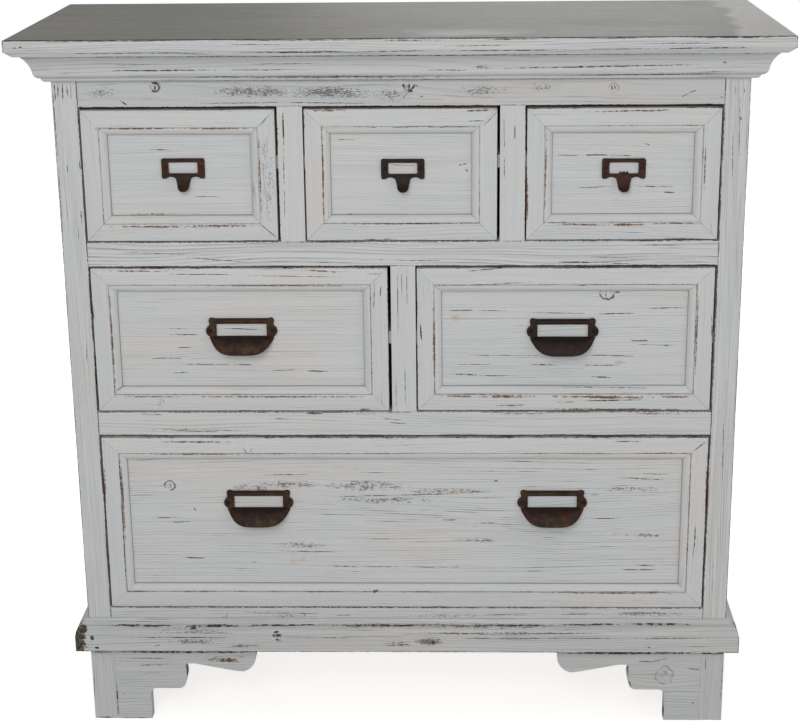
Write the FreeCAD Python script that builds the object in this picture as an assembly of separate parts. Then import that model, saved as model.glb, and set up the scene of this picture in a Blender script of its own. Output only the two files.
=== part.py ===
import FreeCAD, Part
import math
import os

# A painted pine chest with six inset drawers: three over two over one.
# Frame: +X to the viewer's right, drawers open towards -Y, +Z up, the floor at Z 0,
# with the origin under the middle of the whole chest. All sizes are millimetres.

V = FreeCAD.Vector
RIGHT, BACK, UP = V(1, 0, 0), V(0, 1, 0), V(0, 0, 1)
LEFT, FRONT, DOWN = V(-1, 0, 0), V(0, -1, 0), V(0, 0, -1)
os.makedirs("parts", exist_ok=True)

# Carcass sizes
body_width = 945.0
body_depth = 382.0
post_size = 34.5
rail_depth = 30.0
rail_height = 35.2
divider_width = 34.5
divider_shift = 1.6
side_rail_thickness = 22.0
top_side_rail_height = 60.0
panel_recess = 8.0
panel_thickness = 10.0
panel_groove = 7.0

# Heights, from the floor up
foot_height = 121.0
bottom_rail_height = 63.8
bottom_opening_height = 271.0
middle_opening_height = 214.8
top_opening_height = 188.4
frieze_height = 74.6
top_thickness = 22.8

# Top board
top_overhang = 50.0
top_bevel_rise = 7.0
top_bevel_front_set = 5.0
top_bevel_end_set = 10.5
top_edge_round = 1.5

# Joints between the rails, posts and dividers
tenon_length = 14.0
tenon_thickness = 10.0
tenon_shoulder = 6.0
divider_tenon = 10.0

# Cornice under the top board
cornice_height = 38.4
cornice_reach = 32.0
cornice_foot = 6.5
cornice_foot_round = 4.5
cornice_foot_rise = 5.2
cornice_bead_set = 7.0
cornice_bead_low = 5.7
cornice_bead = 20.0
cornice_bead_top = 15.0
cornice_bead_bulge = 0.16
cornice_cove_hollow = 0.074
cornice_fillet = 3.0
cornice_step = 1.0

# Base moulding
base_height = 47.0
base_reach = 18.0
base_face = 25.0
base_quirk = 1.0
base_shoulder = 11.0
base_shoulder_height = 39.0
base_shoulder_bulge = 0.14
base_lip = 3.0
base_lip_hollow = 0.12

# Bracket feet
bracket_thickness = 18.0
foot_width = 52.5
foot_shoulder = 51.0
foot_round = 9.0
scroll_height = 92.0
front_bracket_gap = 450.0
side_bracket_gap = 48.0

# The scroll beside each foot: how far along the reach past the foot each point is, and
# how far up from the foot's shoulder to the top of the bracket, both as shares
scroll_knuckle_start = (0.265, 0.0)
scroll_knuckle_turn = (0.314, 0.045)
scroll_knuckle_side = (0.335, 0.16)
scroll_knuckle_middle = (0.349, 0.33)
scroll_knuckle_end = (0.332, 0.53)
scroll_slope_start = 0.43
scroll_notch = 0.35
scroll_slope_end = (0.795, 0.42)
scroll_tip_start = (0.875, 0.40)
scroll_tip_middle = (0.965, 0.53)
scroll_tip_end = (1.0, 0.80)

# Inside the carcass
bearer_height = 45.0
back_board_thickness = 8.0
back_board_count = 8
back_tongue = 5.0
back_tongue_thickness = 3.0
back_tongue_play = 0.5
back_rail_thickness = 20.0
back_top_rail_height = 50.0
bottom_panel_thickness = 6.0
bottom_panel_drop = 14.0
bottom_panel_groove = 6.0
notch_clearance = 0.5

# Runner strips that the drawers hang on
strip_height = 18.0
strip_thickness = 8.0
strip_clearance = 0.3

# Drawers
front_frame_width = 35.0
front_frame_flat = 24.0
front_frame_thickness = 9.0
front_frame_quirk = 0.8
front_frame_lip = 1.2
front_frame_bulge = 0.16
front_board_thickness = 16.0
front_lap = 6.0
drawer_side_thickness = 14.0
drawer_side_drop = 12.0
drawer_back_thickness = 12.0
drawer_bottom_thickness = 6.0
drawer_bottom_lift = 8.0
drawer_bottom_groove = 5.0
drawer_rear_gap = 10.0

# Cup pull with a label window
cup_width = 91.0
cup_bar = 8.0
cup_window_width = 71.0
cup_window_height = 18.0
cup_plate_thickness = 3.0
cup_plate_tail = 4.0
cup_drop = 48.5
cup_reach = 25.0
cup_end_drop = 4.0
cup_wall = 2.2
cup_ear_radius = 8.6
cup_ear_set = 2.5
cup_screw_spacing = 89.0
cup_ear_drop = 18.5
cup_corner_radius = 4.4
cup_corner_set = 3.6
cup_plate_round = 4.0
cup_bead_radius = 2.4
cup_end_reach = 1.7
cup_least_hollow = 0.3
cup_sections = 11
cup_squareness = 4.0
cup_pull_spacing = 427.2

# Card pull with a tongue
card_width = 59.7
card_height = 28.2
card_bar = 5.3
card_window_width = 39.8
card_window_height = 15.5
card_window_round = 2.0
card_plate_thickness = 2.8
card_corner_radius = 3.0
card_lobe_set = 6.3
card_lobe_lift = 0.4
card_hollow_lift = 2.8
card_drop = 44.4
tongue_root_width = 20.4
tongue_tip_width = 16.4
tongue_tip_length = 7.4
tongue_thickness = 2.6
tongue_reach = 14.5
tongue_set = 0.8
tongue_tip_flat = 3.6
tongue_sections = 6
crown_radius = 1.9
crown_lift = 1.0
crown_pitch = 4.4

# Slot behind each label window, and the pull screws
slot_depth = 1.0
slot_margin = 2.0
screw_shank_radius = 1.6
screw_length = 14.0
cup_screw_head_radius = 3.1
card_screw_head_radius = 2.3
screw_head_height = 1.6
screw_head_taper = 0.6
screw_slot_width = 0.8

# How far the middle of a quarter circle stands in from its corner, as a share of its radius,
# and the weight of the corner that draws a quarter ellipse
quarter_share = 1 - math.sqrt(0.5)
quarter_weight = math.sqrt(0.5)

# How far a cut runs past the face that it starts from
cut_over = 1.0

# Derived planes of the carcass
front_y = (top_overhang - body_depth) / 2
back_y = front_y + body_depth
half_body = body_width / 2
half_inner = half_body - post_size
bottom_sill = foot_height + bottom_rail_height
bottom_head = bottom_sill + bottom_opening_height
middle_sill = bottom_head + rail_height
middle_head = middle_sill + middle_opening_height
top_sill = middle_head + rail_height
top_head = top_sill + top_opening_height
under_top = top_head + frieze_height
front_post_back = front_y + post_size
back_post_front = back_y - post_size
back_rail_front = back_y - back_board_thickness - back_rail_thickness
drawer_back_y = back_rail_front - drawer_rear_gap
panel_outer = half_body - panel_recess
panel_inner = panel_outer - panel_thickness

# Gaps round each drawer front: left, right, top, bottom
drawer_gaps = {
    "top_left_drawer": (1.7, 3.5, 4.4, 1.7),
    "top_middle_drawer": (2.1, 3.9, 4.2, 1.6),
    "top_right_drawer": (2.2, 2.4, 4.6, 1.7),
    "middle_left_drawer": (2.0, 4.5, 2.9, 2.2),
    "middle_right_drawer": (2.0, 3.0, 3.7, 2.4),
    "bottom_drawer": (2.0, 2.2, 4.4, 1.3),
}

# How far each drawer's pulls stand off their places: to the right, and up
pull_shifts = {
    "top_left_drawer": (4.1, 0.0),
    "top_middle_drawer": (2.2, -2.1),
    "top_right_drawer": (1.4, -2.8),
    "middle_left_drawer": (0.4, 0.0),
    "middle_right_drawer": (-2.4, -2.0),
    "bottom_drawer": (1.0, -1.5),
}

smallest_side_gap = min(min(gaps[:2]) for gaps in drawer_gaps.values())
groove_depth = strip_thickness - smallest_side_gap + strip_clearance

# Drawer rows, from the bottom up. runner_rise and pull_rise are heights of the strips and
# the pulls above the middle of the row's opening, and pull_places are the pulls' distances
# from the middle of the drawer.
rows = [
    {
        "sill": bottom_sill, "head": bottom_head,
        "drawers": ["bottom_drawer"], "runner_rise": 0.0,
        "pull": "cup", "pull_rise": 24.5, "pull_places": [-cup_pull_spacing / 2, cup_pull_spacing / 2],
    },
    {
        "sill": middle_sill, "head": middle_head,
        "drawers": ["middle_left_drawer", "middle_right_drawer"], "runner_rise": 1.0,
        "pull": "cup", "pull_rise": 6.0, "pull_places": [0.0],
    },
    {
        "sill": top_sill, "head": top_head,
        "drawers": ["top_left_drawer", "top_middle_drawer", "top_right_drawer"],
        "runner_rise": 16.0, "pull": "card", "pull_rise": 0.0, "pull_places": [0.0],
    },
]


def box(x0, x1, y0, y1, z0, z1):
    return Part.makeBox(x1 - x0, y1 - y0, z1 - z0, V(x0, y0, z0))


def both_sides(x0, x1, y0, y1, z0, z1):
    """The same box on the left and on the right of the chest."""
    return [box(-x1, -x0, y0, y1, z0, z1), box(x0, x1, y0, y1, z0, z1)]


def cut_all(shape, tools):
    for tool in tools:
        shape = shape.cut(tool)
    return shape


def save(node, solids):
    for solid in solids:
        if not solid.isValid() or solid.Volume <= 0 or len(solid.Solids) != 1:
            raise ValueError(node + " has a faulty solid")
    shape = solids[0] if len(solids) == 1 else Part.makeCompound(solids)
    shape.exportStep("parts/" + node + ".step")


def outline_wire(outline, place):
    """A closed wire. (a, b) is a straight run to a point, (a, b, p, q) an arc to (a, b) through (p, q)."""
    points = [place(*step[:2]) for step in outline]
    edges = []
    for number, step in enumerate(outline):
        start, end = points[number - 1], points[number]
        if len(step) == 4:
            edges.append(Part.Arc(start, place(*step[2:]), end).toShape())
        else:
            edges.append(Part.makeLine(start, end))
    return Part.Wire(Part.__sortEdges__(edges))


def moulding(start, end, out, up, outline, start_mitre=0, end_mitre=0):
    """A straight moulding from start to end. A mitre of 1 grows outwards, -1 shrinks, 0 is square."""
    along = (end - start).normalize()
    reach = max(step[0] for step in outline)
    low = min(step[1] for step in outline)
    high = max(step[1] for step in outline)
    wire = outline_wire(outline, lambda a, b: start - along * reach + out * a + up * b)
    run = Part.Face(wire).extrude(end - start + along * (2 * reach))
    corners = [
        start,
        end,
        end + (along * end_mitre + out) * reach,
        start + (out - along * start_mitre) * reach,
    ]
    corners = [corner + up * low for corner in corners]
    prism = Part.Face(Part.makePolygon(corners + corners[:1])).extrude(up * (high - low))
    return run.common(prism).Solids[0]


def arc_middle(a, b, bulge):
    """The point beside the middle of a chord from a to b, bulge times its length to the left."""
    middle = ((a[0] + b[0]) / 2, (a[1] + b[1]) / 2)
    return middle[0] - (b[1] - a[1]) * bulge, middle[1] + (b[0] - a[0]) * bulge


def opening_edges(row):
    """The left and right X of each opening in a row, between the posts and dividers."""
    count = len(row["drawers"])
    pitch = (2 * half_inner + divider_width) / count
    middles = [-half_inner - divider_width / 2 + n * pitch + divider_shift for n in range(1, count)]
    lefts = [-half_inner] + [middle + divider_width / 2 for middle in middles]
    rights = [middle - divider_width / 2 for middle in middles] + [half_inner]
    return list(zip(lefts, rights))


def divider_spans(row):
    edges = opening_edges(row)
    return [(edges[n][1], edges[n + 1][0]) for n in range(len(edges) - 1)]


def strip_middle(row):
    return (row["sill"] + row["head"]) / 2 + row["runner_rise"]


# Front rails, from post to post, each with a tenon at both ends
rail_levels = {
    "bottom_rail": (foot_height, bottom_sill),
    "middle_rail": (bottom_head, middle_sill),
    "upper_rail": (middle_head, top_sill),
    "frieze_rail": (top_head, under_top),
}
tenon_y = front_y + (rail_depth - tenon_thickness) / 2
post_cuts = []
front_rails = {}
for node, (low, high) in rail_levels.items():
    rail = box(-half_inner, half_inner, front_y, front_y + rail_depth, low, high)
    tenons = both_sides(
        half_inner, half_inner + tenon_length, tenon_y, tenon_y + tenon_thickness,
        low + tenon_shoulder, high - tenon_shoulder,
    )
    post_cuts += tenons
    front_rails[node] = rail.fuse(tenons).removeSplitter()

# Dividers between the drawers of a row, with tenons up and down into the rails
dividers = []
divider_tenons = []
for row in rows:
    for left, right in divider_spans(row):
        divider = box(left, right, front_y, front_y + rail_depth, row["sill"], row["head"])
        tenons = [
            box(
                left + tenon_shoulder, right - tenon_shoulder, tenon_y, tenon_y + tenon_thickness, low, high,
            )
            for low, high in (
                (row["sill"] - divider_tenon, row["sill"]),
                (row["head"], row["head"] + divider_tenon),
            )
        ]
        divider_tenons += tenons
        dividers.append(divider.fuse(tenons).removeSplitter())

# Side rails, flush with the posts' outer faces, with tenons into the posts
side_rail_inner = half_body - side_rail_thickness
side_tenon_x = half_body - (side_rail_thickness + tenon_thickness) / 2
side_rails = []
for low, high in ((foot_height, bottom_sill), (under_top - top_side_rail_height, under_top)):
    rails = both_sides(side_rail_inner, half_body, front_post_back, back_post_front, low, high)
    tenons = both_sides(
        side_tenon_x, side_tenon_x + tenon_thickness,
        front_post_back - tenon_length, back_post_front + tenon_length,
        low + tenon_shoulder, high - tenon_shoulder,
    )
    post_cuts += tenons
    side_rails += [rail.fuse(tenon).removeSplitter() for rail, tenon in zip(rails, tenons)]

# Side panels, held in grooves in the posts and side rails
side_panels = both_sides(
    panel_inner, panel_outer, front_post_back - panel_groove, back_post_front + panel_groove,
    bottom_sill - panel_groove, under_top - top_side_rail_height + panel_groove,
)
post_cuts += side_panels
side_rails = [cut_all(rail, side_panels) for rail in side_rails]
save("left_side_panel", side_panels[:1])
save("right_side_panel", side_panels[1:])

# Back rails, each from post to post: under the top, behind the bearers and at the bottom
back_rail_spans = [(foot_height, bottom_sill), (under_top - back_top_rail_height, under_top)]
for row in rows[1:]:
    middle = strip_middle(row)
    back_rail_spans.append((middle - bearer_height / 2, middle + bearer_height / 2))
back_tenon_y = back_rail_front + (back_rail_thickness - tenon_thickness) / 2
back_rails = []
for low, high in back_rail_spans:
    rail = box(-half_inner, half_inner, back_rail_front, back_rail_front + back_rail_thickness, low, high)
    tenons = both_sides(
        half_inner, half_inner + tenon_length, back_tenon_y, back_tenon_y + tenon_thickness,
        low + tenon_shoulder, high - tenon_shoulder,
    )
    post_cuts += tenons
    back_rails.append(rail.fuse(tenons).removeSplitter())

# Corner posts, which run down to the floor as the legs
for node, x0, y0 in (
    ("front_left_post", -half_body, front_y),
    ("front_right_post", half_inner, front_y),
    ("back_left_post", -half_body, back_post_front),
    ("back_right_post", half_inner, back_post_front),
):
    post = box(x0, x0 + post_size, y0, y0 + post_size, 0, under_top)
    save(node, [cut_all(post, post_cuts)])

# Bottom panel, in grooves in the lowest rails and notched round the posts
panel_top = bottom_sill - bottom_panel_drop
bottom_panel = box(
    -side_rail_inner - bottom_panel_groove, side_rail_inner + bottom_panel_groove,
    front_y + rail_depth - bottom_panel_groove, back_rail_front + bottom_panel_groove,
    panel_top - bottom_panel_thickness, panel_top,
)
for y0, y1 in ((front_y, front_post_back), (back_post_front, back_y)):
    corners = both_sides(
        half_inner - notch_clearance, half_body, y0 - notch_clearance, y1 + notch_clearance,
        panel_top - bottom_panel_thickness, panel_top,
    )
    bottom_panel = cut_all(bottom_panel, corners)
save("bottom_panel", [bottom_panel])
for node, rail in front_rails.items():
    save(node, [cut_all(rail, divider_tenons + [bottom_panel])])
save("side_rails", [rail.cut(bottom_panel) for rail in side_rails])
save("back_rails", [rail.cut(bottom_panel) for rail in back_rails])
save("dividers", dividers)

# Bearers: front to back behind each divider, and along each side panel
bearers = []
for row in rows:
    middle = strip_middle(row)
    low, high = middle - bearer_height / 2, middle + bearer_height / 2
    for left, right in divider_spans(row):
        bearers.append(box(left, right, front_y + rail_depth, back_rail_front, low, high))
    bearers += both_sides(half_inner, panel_inner, front_post_back, back_post_front, low, high)
save("bearers", bearers)

# Runner strips, one on each side of every drawer opening
strip_front = front_y + front_frame_thickness + strip_clearance
strips = []
for row in rows:
    low, high = strip_middle(row) - strip_height / 2, strip_middle(row) + strip_height / 2
    for left, right in opening_edges(row):
        strips.append(box(left, left + strip_thickness, strip_front, back_rail_front, low, high))
        strips.append(box(right - strip_thickness, right, strip_front, back_rail_front, low, high))
save("runner_strips", strips)

# Tongued and grooved back boards, between the back posts
board_pitch = 2 * half_inner / back_board_count
tongue_y = back_y - (back_board_thickness + back_tongue_thickness) / 2
back_boards = []
for number in range(back_board_count):
    left = -half_inner + number * board_pitch
    right = left + board_pitch
    board = box(left, right, back_y - back_board_thickness, back_y, foot_height, under_top)
    if number > 0:
        board = board.cut(box(
            left, left + back_tongue, tongue_y, tongue_y + back_tongue_thickness, foot_height, under_top,
        ))
    if number < back_board_count - 1:
        board = board.fuse(box(
            right, right + back_tongue - back_tongue_play, tongue_y, tongue_y + back_tongue_thickness,
            foot_height, under_top,
        )).removeSplitter()
    back_boards.append(board)
save("back_boards", back_boards)

# Top board: bevelled under its front and end edges, flush with the back
top_front = front_y - top_overhang
half_top = half_body + top_overhang
top_z = under_top + top_thickness
bevel_top = under_top + top_bevel_rise


def level_outline(half, front, height):
    """A level rectangle from a front edge to the chest's back."""
    corners = [
        V(-half, front, height), V(half, front, height), V(half, back_y, height), V(-half, back_y, height),
    ]
    return Part.makePolygon(corners + corners[:1])


bevel = Part.makeLoft([
    level_outline(half_top - top_bevel_end_set, top_front + top_bevel_front_set, under_top),
    level_outline(half_top, top_front, bevel_top),
], True, True)
top_board = box(-half_top, half_top, top_front, back_y, bevel_top, top_z).fuse(bevel).removeSplitter()
arrises = []
for edge in top_board.Edges:
    ends = [vertex.Point for vertex in edge.Vertexes]
    at_top = all(abs(end.z - top_z) < 1e-6 for end in ends)
    at_back = all(abs(end.y - back_y) < 1e-6 for end in ends)
    if at_top and not at_back:
        arrises.append(edge)
save("top_board", [top_board.makeFillet(top_edge_round, arrises)])


def trim_run(outline, level):
    """A moulding round the front and both ends of the body, mitred at the front corners."""
    front_left, front_right = V(-half_body, front_y, level), V(half_body, front_y, level)
    back_left, back_right = V(-half_body, back_y, level), V(half_body, back_y, level)
    front = moulding(front_left, front_right, FRONT, UP, outline, 1, 1)
    left = moulding(back_left, front_left, LEFT, UP, outline, 0, 1)
    right = moulding(front_right, back_right, RIGHT, UP, outline, 1, 0)
    return front, left, right


# Cornice: a small rounded foot, a bead and a hollow cove up to the top board
foot_end = (cornice_foot + cornice_foot_round, cornice_foot_rise)
bead_start = (cornice_foot + cornice_bead_set, cornice_bead_low)
bead_end = (cornice_bead, cornice_bead_top)
cove_end = (cornice_reach - cornice_step, cornice_height - cornice_fillet)
cornice_outline = [
    (0, 0),
    (cornice_foot, 0),
    foot_end + arc_middle((cornice_foot, 0), foot_end, -cornice_bead_bulge),
    bead_start,
    bead_end + arc_middle(bead_start, bead_end, -cornice_bead_bulge),
    cove_end + arc_middle(bead_end, cove_end, cornice_cove_hollow),
    (cornice_reach, cornice_height - cornice_fillet),
    (cornice_reach, cornice_height),
    (0, cornice_height),
]
cornice = trim_run(cornice_outline, under_top - cornice_height)
save("front_cornice", cornice[:1])
save("side_cornices", cornice[1:])

# Base moulding: an upright face, a rounded shoulder and a small hollow above it
face_top = (base_reach, base_face)
shoulder_start = (base_reach - base_quirk, base_face)
shoulder_end = (base_shoulder, base_shoulder_height)
hollow_start = (base_shoulder - base_quirk, base_shoulder_height)
lip = (base_lip, base_height)
base_outline = [
    (0, 0),
    (base_reach, 0),
    face_top,
    shoulder_start,
    shoulder_end + arc_middle(shoulder_start, shoulder_end, -base_shoulder_bulge),
    hollow_start,
    lip + arc_middle(hollow_start, lip, base_lip_hollow),
    (0, base_height),
]
base = trim_run(base_outline, foot_height)
save("front_base_moulding", base[:1])
save("side_base_mouldings", base[1:])


def bracket_outline(reach):
    """Scroll-sawn bracket: across from the post and up from the floor, reach past the foot."""
    def at(share, rise):
        return foot_width + share * reach, foot_shoulder + rise * (foot_height - foot_shoulder)

    round_in = foot_round * quarter_share
    foot_inner = (foot_width, foot_shoulder - foot_round)
    shoulder = (foot_width + foot_round, foot_shoulder)
    return [
        (0, foot_height),
        (0, 0),
        (foot_width, 0),
        foot_inner,
        shoulder + (foot_width + round_in, foot_shoulder - round_in),
        at(*scroll_knuckle_start),
        at(*scroll_knuckle_side) + at(*scroll_knuckle_turn),
        at(*scroll_knuckle_end) + at(*scroll_knuckle_middle),
        (foot_width + scroll_notch * reach, scroll_height),
        (foot_width + scroll_slope_start * reach, scroll_height),
        at(*scroll_slope_end),
        at(*scroll_tip_start),
        at(*scroll_tip_end) + at(*scroll_tip_middle),
        at(1, 1),
    ]


def bracket(corner, along, inwards, reach):
    """One bracket beside a post: corner is at the floor on the post's outer plane."""
    wire = outline_wire(bracket_outline(reach), lambda a, b: corner + along * a + UP * b)
    return Part.Face(wire).extrude(inwards * bracket_thickness)


front_reach = half_inner - foot_width - front_bracket_gap / 2
side_reach = (back_post_front - front_post_back - side_bracket_gap) / 2 - foot_width
save("front_brackets", [
    bracket(V(-half_inner, front_y, 0), RIGHT, BACK, front_reach),
    bracket(V(half_inner, front_y, 0), LEFT, BACK, front_reach),
])
save("side_brackets", [
    bracket(V(-half_body, front_post_back, 0), BACK, RIGHT, side_reach),
    bracket(V(-half_body, back_post_front, 0), FRONT, RIGHT, side_reach),
    bracket(V(half_body, front_post_back, 0), BACK, LEFT, side_reach),
    bracket(V(half_body, back_post_front, 0), FRONT, LEFT, side_reach),
])


# Pulls are built at the origin: across is X, out of the wood is -Y, and Z 0 is the top edge.

def window_cuts(width, height, bar, plate, round_radius):
    """The label window, and behind it the slot for the label, open at the top."""
    window = box(
        -width / 2, width / 2, -plate - cut_over, cut_over, -bar - height, -bar,
    )
    if round_radius:
        corners = [edge for edge in window.Edges if abs(edge.tangentAt(edge.FirstParameter).y) > 0.5]
        window = window.makeFillet(round_radius, corners)
    slot = box(
        -width / 2 - slot_margin, width / 2 + slot_margin, -slot_depth, cut_over,
        -bar - height - slot_margin, cut_over,
    )
    return [window, slot]


def screw(across, height, plate, head_radius):
    """A slotted screw through a pull's plate into the drawer front."""
    seat = V(across, -plate, height)
    shank = Part.makeCylinder(screw_shank_radius, screw_length, seat, BACK)
    head = Part.makeCone(head_radius, head_radius * screw_head_taper, screw_head_height, seat, FRONT)
    slot = box(
        across - head_radius, across + head_radius,
        -plate - screw_head_height, -plate - screw_head_height / 2,
        height - screw_slot_width / 2, height + screw_slot_width / 2,
    )
    return shank.fuse(head).removeSplitter().cut(slot)


def cup_shell(inset):
    """The cup: quarter ellipses from the wood out to the lip, which dips and comes out to the middle."""
    half_width = cup_width / 2
    top = -cup_bar - cup_window_height
    full_drop = cup_drop + top - cup_end_drop
    end_place = (1 - cup_end_reach / cup_reach) ** (1 / cup_squareness)
    wires = []
    for number in range(cup_sections):
        place = end_place * math.sin(math.pi / 2 * (2 * number / (cup_sections - 1) - 1))
        share = 1 - abs(place) ** cup_squareness
        across = (half_width - inset) * place
        out = cup_reach * share - inset
        lip_z = top - cup_end_drop - full_drop * share
        if inset:
            out = max(out, cup_least_hollow)
        curve = Part.BezierCurve()
        curve.setPoles([V(across, 0, top - inset), V(across, -out, top - inset), V(across, -out, lip_z)])
        curve.setWeight(2, quarter_weight)
        foot = lip_z - (cup_wall if inset else 0)
        corners = [
            V(across, -out, lip_z), V(across, -out, foot), V(across, 0, foot), V(across, 0, top - inset),
        ]
        if not inset:
            corners = corners[1:]
        lines = [Part.makeLine(corners[n], corners[n + 1]) for n in range(len(corners) - 1)]
        wires.append(Part.Wire([curve.toShape()] + lines))
    return Part.makeLoft(wires, True, False)


def cup_pull():
    """The cup pull's casting and its two screws."""
    half_width = cup_width / 2
    plate_foot = -cup_bar - cup_window_height - cup_plate_tail
    plate = box(-half_width, half_width, -cup_plate_thickness, 0, plate_foot, 0)
    corners = [
        edge for edge in plate.Edges
        if abs(edge.tangentAt(edge.FirstParameter).y) > 0.5 and edge.CenterOfMass.z > -cup_bar
    ]
    plate = plate.makeFillet(cup_plate_round, corners)
    discs = []
    for side in (-1, 1):
        ear = V(side * (cup_screw_spacing / 2 - cup_ear_set), 0, -cup_ear_drop)
        corner = V(side * (half_width - cup_corner_set), 0, -cup_corner_set)
        discs.append(Part.makeCylinder(cup_ear_radius, cup_plate_thickness, ear, FRONT))
        discs.append(Part.makeCylinder(cup_corner_radius, cup_plate_thickness, corner, FRONT))
    bead_half = cup_window_width / 2 + slot_margin
    bead = Part.makeCylinder(
        cup_bead_radius, 2 * bead_half, V(-bead_half, -cup_plate_thickness, -cup_bar / 2), RIGHT,
    )
    shell = cup_shell(0).cut(cup_shell(cup_wall))
    casting = plate.fuse(discs + [bead, shell]).removeSplitter()
    casting = cut_all(casting, window_cuts(
        cup_window_width, cup_window_height, cup_bar, cup_plate_thickness, 0,
    ))
    screws = [
        screw(side * cup_screw_spacing / 2, -cup_ear_drop, cup_plate_thickness, cup_screw_head_radius)
        for side in (-1, 1)
    ]
    return [cut_all(casting, screws).Solids[0]] + screws


def card_outline():
    """The card pull's plate: rounded corners, and lobes and hollows along its lower edge."""
    half, corner = card_width / 2, card_corner_radius
    slant = corner * quarter_share
    root = tongue_root_width / 2
    lobe = (half - card_lobe_set, -card_height + card_lobe_lift)
    hollow = ((lobe[0] + root) / 2, -card_height + card_hollow_lift)
    right = [
        (half - corner, 0),
        (half, -corner, half - slant, -slant),
        (half, -card_height + corner),
        (half - corner, -card_height, half - slant, -card_height + slant),
        lobe,
        (root, -card_height) + hollow,
    ]
    left = [
        (-root, -card_height),
        (-lobe[0], lobe[1], -hollow[0], hollow[1]),
        (corner - half, -card_height),
        (-half, -card_height + corner, slant - half, -card_height + slant),
        (-half, -corner),
        (corner - half, 0, slant - half, -slant),
    ]
    return right + left


def tongue():
    """The finger tongue: a leaf that bends out from the plate and tapers to a round end."""
    root_z = -card_bar - card_window_height
    drop = card_drop + root_z
    radius = (drop ** 2 + tongue_reach ** 2) / (2 * tongue_reach)
    centre_y = -tongue_set - radius
    half_root, half_tip = tongue_root_width / 2, tongue_tip_width / 2
    plate_turn = math.asin((card_height + root_z) / radius)
    round_turn = math.asin((drop - tongue_tip_length) / radius)
    end_turn = math.asin(drop / radius)

    spans = []
    for number in range(tongue_sections):
        turn = round_turn * number / tongue_sections
        tapered = max(0, (turn - plate_turn) / (round_turn - plate_turn))
        spans.append((turn, half_root + (half_tip - half_root) * tapered))
    flat_turn = math.acos(tongue_tip_flat / tongue_tip_width)
    for number in range(tongue_sections + 1):
        angle = flat_turn * number / tongue_sections
        reached = math.sin(angle) / math.sin(flat_turn)
        spans.append((round_turn + (end_turn - round_turn) * reached, half_tip * math.cos(angle)))

    wires = []
    for turn, half in spans:
        corners = [
            V(across, centre_y + ring * math.cos(turn), root_z - ring * math.sin(turn))
            for across, ring in (
                (-half, radius), (half, radius),
                (half, radius - tongue_thickness), (-half, radius - tongue_thickness),
            )
        ]
        wires.append(Part.makePolygon(corners + corners[:1]))
    return Part.makeLoft(wires, True, True)


def card_pull(crowned):
    """The card pull's casting and its two screws. One pull has a crown of three beads on its tongue."""
    plate = Part.Face(outline_wire(card_outline(), lambda a, b: V(a, 0, b)))
    plate = plate.extrude(FRONT * card_plate_thickness)
    plate = cut_all(plate, window_cuts(
        card_window_width, card_window_height, card_bar, card_plate_thickness, card_window_round,
    ))
    pieces = [tongue()]
    if crowned:
        crown_z = -card_bar - card_window_height + crown_lift
        for number in (-1, 0, 1):
            middle = V(number * crown_pitch, -crown_radius, crown_z)
            pieces.append(Part.makeSphere(crown_radius, middle))
    casting = plate.fuse(pieces).removeSplitter()
    bar_middle = (card_width + card_window_width) / 4
    level = -card_bar - card_window_height / 2
    screws = [
        screw(side * bar_middle, level, card_plate_thickness, card_screw_head_radius)
        for side in (-1, 1)
    ]
    return [cut_all(casting, screws).Solids[0]] + screws


def drawer_front_frame(left, right, low, high, face_y):
    """Four mitred mouldings on the front board: a flat band and a rounded inner bead."""
    bead_start = (front_frame_flat, front_frame_thickness - front_frame_quirk)
    bead_end = (front_frame_width, front_frame_lip)
    outline = [
        (0, 0),
        (0, front_frame_thickness),
        (front_frame_flat, front_frame_thickness),
        bead_start,
        bead_end + arc_middle(bead_start, bead_end, front_frame_bulge),
        (front_frame_width, 0),
    ]
    corners = [
        V(left, face_y, low), V(right, face_y, low), V(right, face_y, high), V(left, face_y, high),
    ]
    inwards = [UP, LEFT, DOWN, RIGHT]
    return [
        moulding(corners[n], corners[(n + 1) % 4], inwards[n], FRONT, outline, -1, -1)
        for n in range(4)
    ]


def drawer_box(name, row, left, right, low, high):
    """Front board, sides, back and bottom of one drawer, between the given outer faces."""
    face_y = front_y + front_frame_thickness
    board_back = face_y + front_board_thickness
    side_front = face_y + front_lap
    side_top = high - drawer_side_drop
    inner_left, inner_right = left + drawer_side_thickness, right - drawer_side_thickness
    bottom_low = low + drawer_bottom_lift
    bottom_high = bottom_low + drawer_bottom_thickness

    groove_low = strip_middle(row) - strip_height / 2 - strip_clearance
    groove_high = strip_middle(row) + strip_height / 2 + strip_clearance
    grooves = [
        box(left, left + groove_depth, face_y, drawer_back_y, groove_low, groove_high),
        box(right - groove_depth, right, face_y, drawer_back_y, groove_low, groove_high),
    ]
    bottom = box(
        inner_left - drawer_bottom_groove, inner_right + drawer_bottom_groove,
        board_back - drawer_bottom_groove, drawer_back_y, bottom_low, bottom_high,
    )
    sides = [
        box(left, inner_left, side_front, drawer_back_y, low, side_top),
        box(inner_right, right, side_front, drawer_back_y, low, side_top),
    ]
    board = box(left, right, face_y, board_back, low, high)
    board = cut_all(board, sides + grooves + [bottom])
    sides = [cut_all(side, grooves + [bottom]) for side in sides]
    back = box(
        inner_left, inner_right, drawer_back_y - drawer_back_thickness, drawer_back_y,
        bottom_high, side_top,
    )
    save(name + "_sides", sides)
    save(name + "_back", [back])
    save(name + "_bottom", [bottom])
    return board


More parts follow.
